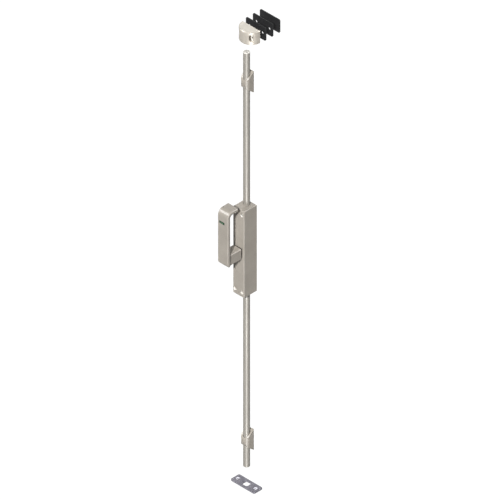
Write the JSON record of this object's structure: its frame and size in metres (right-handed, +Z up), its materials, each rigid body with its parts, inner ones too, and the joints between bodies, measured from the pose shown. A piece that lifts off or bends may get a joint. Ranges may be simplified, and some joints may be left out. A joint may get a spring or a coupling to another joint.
{
  "type": "cremone bolt",
  "caption": "Surface cremone bolt: a lever handle turns a pinion that draws an upper and a lower round rod; with hooded guides, top keeper, packers and floor strike.",
  "frame": {"origin": "centre of the case's back face, at the height of the handle's spindle", "axes": "+X right as seen from the front, +Y into the door, +Z up along the rods"},
  "size_m": [0.066, 0.1322, 1.0971],
  "materials": {
    "silver_paint": "satin silver-grey lacquer on zinc",
    "satin_rod": "satin-plated round steel bar",
    "nickel_plate": "bright nickel plate",
    "bright_steel": "bright plated screws",
    "zinc_plate": "zinc-plated pressed steel",
    "steel": "machined steel",
    "bronze": "sintered bronze",
    "black_polymer": "matt moulded polymer",
    "green_plate": "gloss green plate"
  },
  "bodies": {
    "case": {"case_cover": "silver_paint", "cover_screws": "bright_steel", "back_plate": "steel", "spindle_front_bush": "bronze", "spindle_rear_bush": "bronze", "upper_rod_bush": "black_polymer", "lower_rod_bush": "black_polymer", "upper_guide_hood": "silver_paint", "lower_guide_hood": "silver_paint", "top_keeper": "nickel_plate", "keeper_packer_front": "black_polymer", "keeper_packer_middle": "black_polymer", "keeper_packer_rear": "black_polymer", "floor_strike": "zinc_plate"},
    "handle": {"handle": "silver_paint", "handle_grub_screw": "steel", "post_collar": "black_polymer", "indicator_plate": "green_plate", "spindle": "steel", "pinion": "steel", "hub_pin": "steel", "hub_circlip": "steel", "disc_spring": "steel"},
    "upper_rod": {"upper_rod": "satin_rod", "upper_rack": "steel", "upper_rack_pin": "steel"},
    "lower_rod": {"lower_rod": "satin_rod", "lower_rack": "steel", "lower_rack_pin": "steel"}
  },
  "joints": [
    {"name": "handle_turn", "type": "hinge", "parent": "case", "child": "handle", "pos_m": [0, 0, 0], "axis": [0, 1, 0], "range_deg": [0, 180]},
    {"name": "upper_rod_slide", "type": "slide", "parent": "case", "child": "upper_rod", "axis": [0, 0, 1], "range_m": [-0.022, 0]},
    {"name": "lower_rod_slide", "type": "slide", "parent": "case", "child": "lower_rod", "axis": [0, 0, 1], "range_m": [0, 0.022]}
  ],
  "couplings": [
    {"joint": "upper_rod_slide", "follows": "handle_turn", "m_per_rad": -0.007},
    {"joint": "lower_rod_slide", "follows": "handle_turn", "m_per_rad": 0.007}
  ]
}
